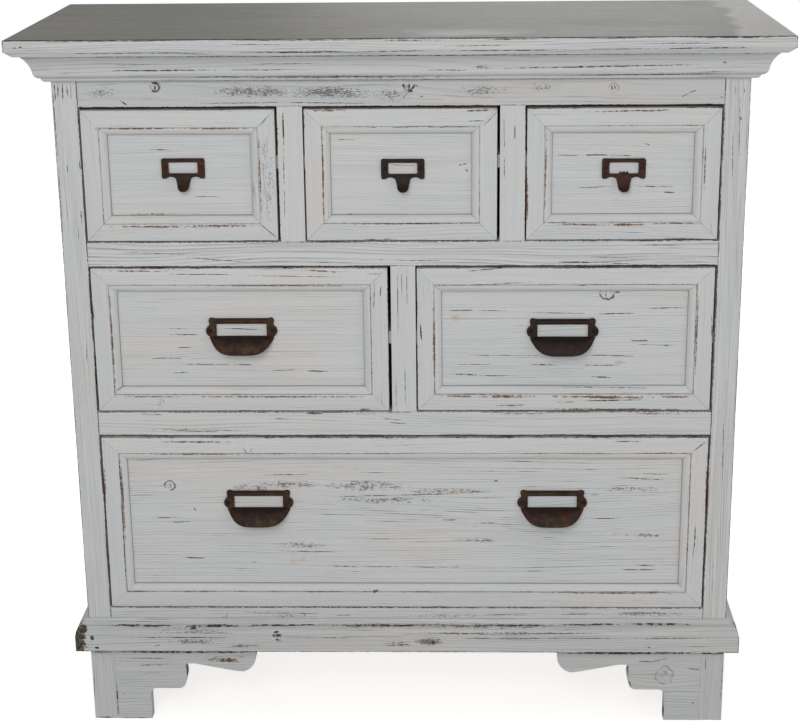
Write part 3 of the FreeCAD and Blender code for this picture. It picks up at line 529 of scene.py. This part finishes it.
class WoodPaint(Graph):
    """Worn white paint on pine. Each step adds to the grime and painted shade, to the rubbed edges or to
    the tone.
    """

    def __init__(self, name, axis, seed, frame_box, knots):
        super().__init__(name)
        x, y, z = self.x, self.y, self.z
        self.seed = seed
        if frame_box:
            # The four members of a mitred frame, each with the grain along it
            low, high = frame_box
            self.side = (x - low.x).least(high.x - x)
            self.level = (z - low.z).least(high.z - z)
            upright = self.rise(self.level - self.side, -0.0002, 0.0002)
            self.u = x * (1.0 - upright) + z * upright
            self.v = z * (1.0 - upright) + x * upright
            self.w = y
        else:
            self.u, self.v, self.w = {"x": (x, z, y), "y": (y, z, x), "z": (z, x, y)}[axis]
        self.place = self.add("CombineXYZ", x, y, z).outputs[0]
        for centre_x, centre_z, radius, strength in knots:
            # The grain flows round a knot
            centre = (centre_x * MM, 0.0, centre_z * MM)
            half = (radius * 5 * MM, ANY_DEPTH, radius * 2.6 * MM)
            near = self.rise(self.distance(self.place, centre, half), 1.0, 0.0)
            self.v = self.v - (z - centre_z * MM) * near * 0.75
        self.along = self.noise(self.u * 16.0, seed + self.v * 30.0, self.w * 30.0, 3.0, 0.65)
        self.fray = self.noise(x * 300.0 + seed, y * 300.0, z * 300.0, 2.0, 0.6) - 0.5
        self.cloud = self.noise(self.u * 4.0 + seed, self.v * 11.0, self.w * 11.0, 3.0)
        self.dirt_and_shade = None
        self.rub = None

    def soil_and_shade(self, amount):
        """Adds grime and painted shade."""
        self.dirt_and_shade = amount if self.dirt_and_shade is None else self.dirt_and_shade.most(amount)

    def bare(self, amount):
        """Adds rubbed paint."""
        self.rub = amount if self.rub is None else self.rub.most(amount)

    def lay_grain(self, spacing):
        """Late wood in lines: each line darkens slowly across the grain and ends sharply."""
        u, v, w, seed = self.u, self.v, self.w, self.seed
        flow = self.noise(u * 1.5 + seed, v * 9.0, w * 9.0, 2.0)
        figure = (v + w * 0.7) / (spacing * MM) + flow * 12.0
        self.ring = self.math("FLOOR", figure)
        across = self.math("FRACT", figure)
        vary = self.rise(self.noise(u * 4.0 + seed, self.ring * 3.1, seed, 2.0), 0.36, 0.62)
        self.late = self.rise(across, 0.25, 0.92) * self.rise(across, 1.0, 0.93) * vary
        self.line = self.rise(across, 0.70, 0.84) * self.rise(across, 1.0, 0.93)
        fine = self.noise(u * 5.0, (v + flow * 0.04) * 620.0 + seed, w * 620.0, 2.0)
        self.fine = self.rise(fine, 0.50, 0.72)

    def crack(self, dashes, specks):
        """Dark cracks along the grain lines, in crowds, and grey specks in their places."""
        u, v, w, seed = self.u, self.v, self.w, self.seed
        crowd = self.noise(u * 3.0 + seed * 2.0, v * 20.0, w * 20.0)
        length = self.noise(u * 15.0 + seed, self.ring * 5.7, seed, 3.0, 0.55)
        length = length + (crowd - 0.5) * 0.45 + dashes * 0.10
        self.soil_and_shade(self.rise(length, 0.68, 0.80) * self.line * 0.75)
        self.soil_and_shade(self.rise(length, 0.56, 0.72) * self.line * 0.25)
        crowded = None
        for centre_x, centre_z, half_width, half_height, strength in specks:
            centre = (centre_x * MM, 0.0, centre_z * MM)
            half = (half_width * MM, ANY_DEPTH, half_height * MM)
            near = self.rise(self.distance(self.place, centre, half), 1.2, 0.2) * strength
            crowded = near if crowded is None else crowded.most(near)
        if crowded:
            grains = self.noise(u * 250.0, v * 700.0, w * 700.0 + seed, 2.0, 0.6)
            patchy = self.noise(u * 60.0, v * 130.0, w * 130.0 + seed, 1.0) - 0.5
            found = grains + crowded * 0.15 + patchy * 0.35
            self.soil_and_shade(self.rise(found, 0.60, 0.74) * self.clamped(crowded * 2.0) * 0.7)

    def wear_edges(self, box, wear):
        """Paint rubbed off the edges of a box, other than those at its back or near the floor."""
        low, high = box
        gap_x = (self.x - low.x).least(high.x - self.x)
        gap_y = self.y - low.y
        gap_z = (self.z - low.z).least(high.z - self.z)
        arris = gap_x.least(gap_y).most(gap_x.most(gap_y).least(gap_z))
        worn = self.rise(arris, 0.0026, 0.0004) + self.along * 1.1 + self.fray + wear * 0.5 - 1.24
        worn = worn - self.rise(self.z, FEET_TOP, FEET_TOP - 0.003)
        self.bare(self.rise(worn, 0.46, 0.58) * 0.6)
        self.soil_and_shade(self.rise(worn, 0.54, 0.64) * 0.9)

    def wear_frame(self, wear):
        """Dirt and rubbed paint along a drawer front's bead, outer edges and mitres, and a painted shade
        line along the step down to the bead.
        """
        inward = self.side.least(self.level)
        step, foot = abs(inward - BAND), abs(inward - BEAD_END)
        crumbs = self.noise(self.u * 260.0, self.v * 500.0, self.w * 500.0 + self.seed, 1.0, 0.6) - 0.5
        worn = self.along * 1.3 + crumbs * 0.9 + wear * 0.5 - 1.04
        self.bare(self.rise(self.rise(step, 0.0032, 0.0003) * 0.75 + worn, 0.50, 0.85) * 0.7)
        # Painted shade: a thin line all along the step down to the bead
        self.soil_and_shade(self.rise(step, 0.0011, 0.0001) * (wear * 0.7))
        self.soil_and_shade(self.rise(self.rise(step, 0.0012, 0.0001) * 0.7 + worn, 0.66, 0.78) * 0.8)
        self.soil_and_shade(self.rise(foot, 0.0010, 0.0001) * 0.55)
        self.soil_and_shade(self.rise(self.rise(inward, 0.0016, 0.0002) * 0.7 + worn, 0.60, 0.74) * 0.85)
        mitre = self.rise(abs(self.level - self.side), 0.0006, 0.0001)
        self.soil_and_shade(mitre * self.rise(self.along, 0.50, 0.66) * 0.6)

    def place_marks(self, marks):
        """Cracks, rubs and knots at their places; some of the cracks are painted shadow lines."""
        shake = self.noise(self.x * 60.0, self.y * 60.0, self.z * 60.0 + self.seed) - 0.5
        place = self.add("CombineXYZ", self.x, self.y, self.z + shake * 0.0018).outputs[0]
        ragged = self.fray * 1.2 + self.along * 0.6 - 0.3
        broken = self.noise(self.u * 130.0 + self.seed, self.v * 60.0, self.w * 60.0, 1.0)
        broken = 0.35 + self.rise(broken, 0.38, 0.56) * 0.6
        if marks.get("cracks"):
            far = strokes(self, place, marks["cracks"], 1.1)
            self.soil_and_shade(self.rise(far + ragged, 1.10, 0.75) * broken)
        if marks.get("rubs"):
            far = strokes(self, place, marks["rubs"], 1.3) + ragged * 1.7 + (0.65 - broken) * 0.8
            self.bare(self.rise(far, 1.25, 0.60) * 0.95)
            self.soil_and_shade(self.rise(far, 0.55, 0.25) * 0.6)
        for centre_x, centre_z, radius, strength in marks.get("knots", ()):
            centre = (centre_x * MM, 0.0, centre_z * MM)
            uneven = self.noise(self.x * 120.0, self.seed + centre_x, self.z * 120.0, 1.0) - 0.5
            far = self.distance(self.place, centre, (radius * MM, ANY_DEPTH, radius * MM)) + uneven * 0.8
            broken = self.rise(self.noise(self.x * 90.0, self.seed, self.z * 90.0, 1.0), 0.34, 0.50)
            ticks = self.noise(self.x * 420.0 + self.seed, 0.0, self.z * 120.0, 1.0)
            inner = self.rise(ticks, 0.52, 0.60) * self.rise(far, 0.7, 0.5)
            self.soil_and_shade((self.rise(abs(far - 1.0), 0.20, 0.08) * broken).most(inner) * (strength * 0.9))

    def chip(self, base, chips):
        """Bare, dirty wood where the paint is chipped off."""
        nearest = None
        for centre_x, centre_y, centre_z, half_x, half_y, half_z in chips:
            centre = (centre_x * MM, centre_y * MM, centre_z * MM)
            far = self.distance(self.place, centre, (half_x * MM, half_y * MM, half_z * MM))
            nearest = far if nearest is None else nearest.least(far)
        bare = self.rise(nearest + self.fray * 1.5 + self.along * 0.8 - 0.4, 1.0, 0.85)
        blotch = self.noise(self.x * 260.0, self.y * 260.0, self.z * 160.0, 2.0, 0.6)
        return self.mix(bare, base, self.mix(self.rise(blotch, 0.38, 0.56), CHIP, DIRT_AND_SHADE))

    def shaded_grey_top(self, base):
        """The upper face is painted darker grey as shade, streaked, and paler where a wavy figure shows at
        its right end.
        """
        x, y, seed = self.x, self.y, self.seed
        upper = self.rise(self.up, 0.4, 0.8)
        streaks = self.rise(self.noise(x * 3.5, y * 130.0, seed, 3.0, 0.6), 0.46, 0.70)
        # Painted shade: the darker grey of the upward face
        grey = self.mix(self.rise(self.cloud, 0.4, 0.7), TOP_PAINT_SHADED, TOP_PAINT_WARM_SHADED)
        cracks = self.rise(self.noise(x * 5.0, y * 160.0, seed + 5.0, 4.0, 0.65), 0.52, 0.66)
        blotch = self.noise(x * 60.0, y * 30.0, seed, 4.0, 0.7) - 0.5
        grey = self.shade(grey, 0.98 + streaks * 0.16 - cracks * 0.13 + blotch * 0.16)
        # A paler patch near the front of the top; here worn only marks where it is paler
        far = self.distance(self.place, TOP_PALE_MIDDLE, TOP_PALE_HALF) + self.fray
        far = far + (self.along - 0.5)
        worn = self.rise(far, 1.1, 0.2)
        grey = self.mix(worn * (0.5 + streaks * 0.4), grey, TOP_PALE)
        wave = self.noise(x * 9.0, y * 4.0, seed, 1.0) * 14.0 + (x + y * 0.4) * 110.0
        contour = self.rise(abs(self.math("FRACT", wave) - 0.5), 0.22, 0.06)
        end = self.rise(x - y * 0.05 + (self.cloud - 0.5) * 0.08, TOP_END, TOP_END + 0.02)
        pale = self.mix(contour * 0.5, TOP_PALE, DIRT_AND_SHADE)
        grey = self.mix(end * 0.85, grey, pale)
        return self.mix(upper, base, grey)


def wood_paint(
    name, axis, seed=0.0, box=None, frame_box=None, inside=None, grain=1.0, spacing=4.0, tone=1.0,
    dashes=0.0, wear=0.5, top=False, marks=None,
):
    """Worn white paint on pine, with the grain along an axis.

    box is the piece's lowest and highest corner, for the wear on its edges. frame_box is a drawer
    front's. inside names the depth behind which the wood is bare. grain, dashes and wear are how
    much of each shows, spacing is that of the grain lines, and tone makes the paint lighter or
    darker, as painted light and shade.
    """
    marks = marks or {}
    g = WoodPaint(name, axis, seed, frame_box, marks.get("knots", ()))
    g.lay_grain(spacing)
    g.crack(dashes, marks.get("specks", ()))
    if box:
        g.wear_edges(box, wear)
    if frame_box:
        g.wear_frame(wear)
    g.place_marks(marks)

    paint = g.mix(g.rise(g.cloud, 0.45, 0.75) * 0.6, PAINT, PAINT_WARM)
    if top:
        paint = g.shaded_grey_top(paint)
    level = tone * 1.02 - g.late * (0.08 * grain) - g.fine * (0.07 * grain)
    # Painted shade: darker paint below the top of the feet
    level = level - g.rise(g.z, FEET_TOP, FEET_TOP - 0.003) * FEET_SHADE
    paint = g.shade(paint, level + (g.cloud - 0.5) * 0.10 + g.fray * 0.05)
    base = g.mix(g.rub, paint, RUB) if g.rub else paint
    # Dirt and painted shade, mixed in one colour
    base = g.mix(g.dirt_and_shade, base, DIRT_AND_SHADE)
    if marks.get("chips"):
        base = g.chip(base, marks["chips"])
    if inside is not None:
        bare, rings = pine_colour(g, g.u, g.v, g.w, seed)
        base = g.mix(g.rise(g.y + (g.along - 0.5) * 0.02, inside, inside + 0.004), base, bare)
    g.feed(g.shader.inputs["Base Color"], base)
    g.feed(g.shader.inputs["Roughness"], 0.52 + g.dirt_and_shade * 0.25 + g.cloud * 0.1)
    g.shader.inputs["Specular IOR Level"].default_value = 0.12 if top else 0.25
    height = (g.late * 0.8 + g.fine * 0.3) * -grain - g.dirt_and_shade
    g.bump(height, 0.0006, 0.8)
    return g.material


def bare_pine(name, axis, seed=0.0):
    """Unpainted pine, for what the drawers hide."""
    g = Graph(name)
    u, v, w = {"x": (g.x, g.z, g.y), "y": (g.y, g.z, g.x), "z": (g.z, g.x, g.y)}[axis]
    base, rings = pine_colour(g, u, v, w, seed)
    g.feed(g.shader.inputs["Base Color"], base)
    g.feed(g.shader.inputs["Roughness"], 0.6 + rings * 0.15)
    g.bump(rings, 0.0003, 0.5)
    return g.material


def dark_iron(name, rusty, waxed, screws=()):
    """Cast iron, nearly black, with rust and olive-brown wax where it faces forward, and painted shade on
    the faces turned away from the front.

    rusty and waxed are how much of each shows. screws are the places of the screw holes, painted dark as
    the shade in them.
    """
    g = Graph(name)
    x, y, z = g.x, g.y, g.z
    forward = g.rise(g.forward, 0.25, 0.95)
    rust = g.noise(x * 70.0, y * 70.0, z * 70.0, 4.0, 0.65)
    wax = g.noise(x * 90.0 + 9.0, y * 90.0, z * 90.0, 4.0, 0.65)
    grit = g.noise(x * 900.0, y * 900.0, z * 900.0, 3.0, 0.7)
    base = g.mix(g.rise(rust + rusty * 0.2, 0.50, 0.72) * 0.8, IRON, IRON_RUST)
    base = g.mix(g.rise(wax + waxed * 0.2, 0.56, 0.76) * forward * 0.7, base, IRON_OLIVE)
    # Painted shade: the faces turned away from the front are darker
    base = g.shade(base, (0.45 + grit * 0.6) * (0.3 + forward * 0.6))
    # Painted glints: small pale specks of highlight
    glints = g.rise(g.noise(x * 480.0, y * 480.0, z * 480.0 + 5.0, 1.0), 0.76, 0.80)
    base = g.mix(glints * 0.45, base, IRON_GLINT)
    place = g.add("CombineXYZ", x, y, z).outputs[0]
    # Painted shade in the screw holes
    for across, height in screws:
        far = g.distance(place, (across, 0.0, height), (SCREW_HOLE, ANY_DEPTH, SCREW_HOLE))
        base = g.mix(g.rise(far, 1.0, 0.8) * 0.75, base, IRON_HOLE_SHADE)
    g.feed(g.shader.inputs["Base Color"], base)
    g.feed(g.shader.inputs["Roughness"], 0.45 + grit * 0.35)
    g.shader.inputs["Specular IOR Level"].default_value = 0.16
    g.bump(rust * 0.4 + grit * 0.6, 0.0006, 0.6)
    return g.material


# How a node's sharp edges are softened: points this close are joined, and edges sharper than
# this angle are rounded
WELD_GAP = 0.00001
SHARP_ANGLE = math.radians(35)


def dress(node, material, bevel=0.7):
    """Gives a CAD node its material, and rounds its sharp edges by a bevel in millimetres."""
    piece = nodes[node]
    piece.data.materials.clear()
    piece.data.materials.append(material)
    if bevel:
        weld = piece.modifiers.new("weld", "WELD")
        weld.merge_threshold = WELD_GAP
        soft = piece.modifiers.new("soft_edges", "BEVEL")
        soft.width = bevel * MM
        soft.segments = 2
        soft.limit_method = "ANGLE"
        soft.angle_limit = SHARP_ANGLE


# Carcass: the wood is bare behind these depths

INSIDE = front_y + 0.016
BEHIND_STRIPS = front_y + 0.05
BEHIND_BOARD = front_y + 0.012
# Each piece's tone is painted light and shade: the frieze darker for the cornice's shadow on it, the upper
# rail lighter, and the bottom rail, base mouldings and brackets darker as the light falls off towards the
# floor
for number, (node, axis, wear, settings) in enumerate((
    ("front_left_post", "z", 0.8, {"spacing": 3.4, "grain": 1.3}),
    ("front_right_post", "z", 0.7, {"spacing": 3.6, "grain": 1.7}),
    ("back_left_post", "z", 0.6, {}),
    ("back_right_post", "z", 0.6, {}),
    ("left_side_panel", "z", 0.2, {"dashes": 0.4}),
    ("right_side_panel", "z", 0.2, {"dashes": 0.4}),
    ("frieze_rail", "x", 0.5, {"tone": 0.90, "grain": 0.9, "spacing": 6.0, "inside": INSIDE}),
    ("upper_rail", "x", 0.6, {"dashes": 0.6, "grain": 2.5, "spacing": 5.5, "tone": 1.02, "inside": INSIDE}),
    ("middle_rail", "x", 0.6, {"dashes": 0.2, "grain": 1.3, "spacing": 5.0, "inside": INSIDE}),
    ("bottom_rail", "x", 0.6, {"dashes": 0.5, "grain": 1.2, "tone": 0.95, "inside": INSIDE}),
    ("dividers", "z", 0.4, {"dashes": -0.3, "grain": 0.5, "spacing": 3.5, "inside": INSIDE}),
    ("top_board", "x", 0.9, {"dashes": 0.3, "grain": 1.6, "spacing": 2.8, "top": True}),
    ("front_cornice", "x", 0.5, {"dashes": 0.0, "grain": 0.9}),
    ("front_base_moulding", "x", 0.7, {"dashes": 0.8, "grain": 1.3, "tone": 0.90}),
    ("front_brackets", "x", 0.7, {"dashes": 0.3, "grain": 1.3, "tone": 0.98}),
    ("side_rails", "y", 0.6, {"dashes": 0.5, "grain": 1.3}),
    ("side_cornices", "y", 0.5, {"dashes": 0.4}),
    ("side_base_mouldings", "y", 0.7, {"dashes": 0.8, "grain": 1.3, "tone": 0.90}),
    ("side_brackets", "y", 0.7, {"dashes": 0.3, "grain": 1.3, "tone": 0.98}),
    ("runner_strips", "y", 0.3, {"inside": BEHIND_STRIPS}),
)):
    dress(node, wood_paint(
        "paint_" + node, axis, seed=3.7 * number, box=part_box(node), wear=wear,
        marks=MARKS.get(node), **settings,
    ), 0.3 if node == "runner_strips" else 0.7)
pine_x = bare_pine("bare_pine_x", "x", 3.0)
pine_y = bare_pine("bare_pine_y", "y", 7.0)
pine_z = bare_pine("bare_pine_z", "z", 11.0)
for node in ("back_rails", "bottom_panel"):
    dress(node, pine_x)
dress("bearers", pine_y)
dress("back_boards", pine_z, 0)


# Drawer fronts: four mitred mouldings round a panel

def arc_points(start, end, bulge, steps):
    """Points after start, up to end, on an arc that stands bulge times its chord to the left."""
    chord = end - start
    side = Vector((-chord.y, chord.x))
    half_turn = 2 * math.atan(2 * bulge)
    radius = 0.5 / math.sin(half_turn)
    points = []
    for n in range(1, steps + 1):
        turn = half_turn * (2 * n / steps - 1)
        along = 0.5 + radius * math.sin(turn)
        up = radius * (math.cos(turn) - math.cos(half_turn))
        points.append(start + chord * along + side * up)
    return points


def frame_profile():
    """A moulding's section: distance in from the drawer's edge, and height above the panel."""
    points = [Vector((0, 0)), Vector((0, FRAME_HEIGHT - ARRIS))]
    points += [
        Vector((ARRIS * (1 - math.cos(turn)), FRAME_HEIGHT - ARRIS * (1 - math.sin(turn))))
        for turn in map(math.radians, (30, 60, 90))
    ]
    points += [Vector((BAND - ARRIS / 2, FRAME_HEIGHT)), Vector((BAND, FRAME_HEIGHT - ARRIS / 2))]
    bead = Vector((BAND, FRAME_HEIGHT - FRAME_STEP))
    points += [bead] + arc_points(bead, Vector((BEAD_END, FRAME_LIP)), BEAD_BULGE, 8)
    return points + [Vector((BEAD_END, 0))]


def mitred_frame(name, node, material):
    """Four mouldings round the box of a node, mitred where they meet."""
    low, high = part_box(node)
    back = high.y
    section = frame_profile()
    across, up = Vector((1, 0, 0)), Vector((0, 0, 1))
    sides = (
        (Vector((low.x, back, low.z)), across, up, high.x - low.x),
        (Vector((high.x, back, low.z)), up, -across, high.z - low.z),
        (Vector((high.x, back, high.z)), -across, -up, high.x - low.x),
        (Vector((low.x, back, high.z)), -up, across, high.z - low.z),
    )
    out = Vector((0, -1, 0))
    vertices, faces = [], []
    for corner, along, inward, length in sides:
        first = len(vertices)
        count = len(section)
        for end in (0, 1):
            for point in section:
                reach = point.x + MITRE_GAP
                place = reach if end == 0 else length - reach
                vertices.append(corner + along * place + inward * point.x + out * point.y)
        for n in range(count):
            m = (n + 1) % count
            faces.append((first + n, first + m, first + count + m, first + count + n))
        faces.append(tuple(first + n for n in reversed(range(count))))
        faces.append(tuple(first + count + n for n in range(count)))
    mesh = bpy.data.meshes.new(name)
    mesh.from_pydata(vertices, [], faces)
    mesh.polygons.foreach_set("use_smooth", [True] * len(mesh.polygons))
    mesh.set_sharp_from_angle(angle=math.radians(28))
    piece = bpy.data.objects.new(name, mesh)
    bpy.context.scene.collection.objects.link(piece)
    mesh.materials.append(material)
    return piece


# Grain, grain spacing, wear and dashes of the drawer fronts in each row
ROW_LOOKS = {
    "top": (0.9, 3.4, 0.4, -0.5),
    "middle": (0.9, 3.6, 0.55, -0.1),
    "bottom": (0.9, 4.0, 0.6, 0.8),
}
for number, drawer in enumerate(drawer_names):
    seed = 131.0 + number * 7.9
    grain, spacing, wear, dashes = ROW_LOOKS[drawer.split("_")[0]]
    frame_node, board = drawer + "_front_frame", drawer + "_front_board"
    material = wood_paint(
        "paint_" + frame_node, "x", seed=seed, frame_box=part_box(frame_node), grain=0.6, wear=wear,
        marks=MARKS.get(frame_node),
    )
    piece = mitred_frame(drawer + "_mouldings", frame_node, material)
    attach(piece, drawer)
    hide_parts(frame_node)
    dress(board, wood_paint(
        "paint_" + board, "x", seed=seed + 3.0, inside=BEHIND_BOARD, grain=grain, spacing=spacing,
        dashes=dashes, marks=MARKS.get(board),
    ), 0.5)
    for part, material in (("_sides", pine_y), ("_back", pine_x), ("_bottom", pine_y)):
        dress(drawer + part, material, 0.5)

# Pulls: how rusty and how waxed each node is

IRON_LOOKS = {
    "top_left_drawer_pull": (0.6, 0.0), "top_middle_drawer_pull": (-0.6, 0.1),
    "top_right_drawer_pull": (0.8, 0.2), "middle_left_drawer_pull": (0.5, 0.7),
    "middle_right_drawer_pull": (-0.1, 0.2), "bottom_drawer_pulls": (0.5, 0.5),
}

# Where a cup pull's screws are: in from its ends, and down from its top
SCREW_IN = 0.0052
SCREW_DOWN = 0.0185
SCREW_HOLE = 0.0036
for node, (rusty, waxed) in IRON_LOOKS.items():
    low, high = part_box(node)
    screws = []
    if not node.startswith("top"):
        screws = [(low.x + SCREW_IN, high.z - SCREW_DOWN), (high.x - SCREW_IN, high.z - SCREW_DOWN)]
    dress(node, dark_iron("iron_" + node, rusty, waxed, screws), 0.35)


# Floor, light and camera

FLOOR_SIZE = 30.0
FLOOR_TONE = 0.62
FLOOR_GLOW = 0.7
WORLD_LIGHT = 0.42
WHITE = (1.0, 1.0, 1.0, 1.0)


def seen_rays(tree):
    """1 for the rays that show the background: the camera's, and those from gloss or through glass."""
    path = tree.nodes.new("ShaderNodeLightPath")
    seen = path.outputs["Is Camera Ray"]
    for ray in ("Is Glossy Ray", "Is Transmission Ray"):
        both = tree.nodes.new("ShaderNodeMath")
        both.use_clamp = True
        tree.links.new(seen, both.inputs[0])
        tree.links.new(path.outputs[ray], both.inputs[1])
        seen = both.outputs[0]
    return seen


def stage_floor():
    """A plain pale floor, which glows only for the rays that show the background."""
    mesh = bpy.data.meshes.new("floor")
    corners = [
        (across * FLOOR_SIZE, back * FLOOR_SIZE, 0)
        for across, back in ((-1, -1), (1, -1), (1, 1), (-1, 1))
    ]
    mesh.from_pydata(corners, [], [(0, 1, 2, 3)])
    floor = bpy.data.objects.new("floor", mesh)
    bpy.context.scene.collection.objects.link(floor)
    g = Graph("floor")
    g.shader.inputs["Base Color"].default_value = (FLOOR_TONE, FLOOR_TONE, FLOOR_TONE, 1.0)
    g.shader.inputs["Roughness"].default_value = 0.9
    g.shader.inputs["Emission Color"].default_value = WHITE
    g.feed(g.shader.inputs["Emission Strength"], Term(g, seen_rays(g.tree)) * FLOOR_GLOW)
    mesh.materials.append(g.material)


def area_light(name, place, target, size, power):
    """A round lamp at a place, turned to a target."""
    data = bpy.data.lights.new(name, "AREA")
    data.shape = "DISK"
    data.size = size
    data.energy = power
    light = bpy.data.objects.new(name, data)
    light.location = place
    light.rotation_euler = (Vector(target) - Vector(place)).to_track_quat("-Z", "Y").to_euler()
    bpy.context.scene.collection.objects.link(light)


stage_floor()
world = bpy.data.worlds.new("studio")
world.use_nodes = True
background = world.node_tree.nodes["Background"]
background.inputs["Color"].default_value = WHITE
level = world.node_tree.nodes.new("ShaderNodeMapRange")
world.node_tree.links.new(seen_rays(world.node_tree), level.inputs["Value"])
level.inputs["To Min"].default_value = WORLD_LIGHT
level.inputs["To Max"].default_value = 1.0
world.node_tree.links.new(level.outputs[0], background.inputs["Strength"])
bpy.context.scene.world = world
area_light("key", (-0.4, -3.2, 2.0), (0, 0, 0.6), 1.8, 46)
area_light("fill", (3.0, -2.2, 1.1), (0, 0, 0.5), 2.0, 14)
area_light("back", (0.5, 3.6, 1.3), (0, 0, 0.5), 2.0, 36)

# The camera stands where the photograph's perspective puts it
CAMERA_PLACE = Vector((0.0815, -2.5775, 1.3291))
YAW = math.radians(-1.523)
PITCH = math.radians(17.512)
ROLL = math.radians(-0.551)
FOCAL_PIXELS = 1788.55
CENTRE_PIXEL = 415.0
PICTURE_WIDTH = 800.0
SENSOR_WIDTH = 36.0
ahead = Vector((math.sin(YAW) * math.cos(PITCH), math.cos(YAW) * math.cos(PITCH), -math.sin(PITCH)))
right = Vector((math.cos(YAW), -math.sin(YAW), 0))
above = right.cross(ahead)
turned_right = right * math.cos(ROLL) + above * math.sin(ROLL)
turned_up = above * math.cos(ROLL) - right * math.sin(ROLL)
camera_data = bpy.data.cameras.new("camera")
camera_data.sensor_width = SENSOR_WIDTH
camera_data.lens = SENSOR_WIDTH * FOCAL_PIXELS / PICTURE_WIDTH
camera_data.shift_x = (PICTURE_WIDTH / 2 - CENTRE_PIXEL) / PICTURE_WIDTH
camera = bpy.data.objects.new("camera", camera_data)
turn = Matrix((turned_right, turned_up, -ahead)).transposed().to_4x4()
camera.matrix_world = Matrix.Translation(CAMERA_PLACE) @ turn
bpy.context.scene.collection.objects.link(camera)
bpy.context.scene.camera = camera
bpy.context.scene.view_settings.view_transform = "Standard"
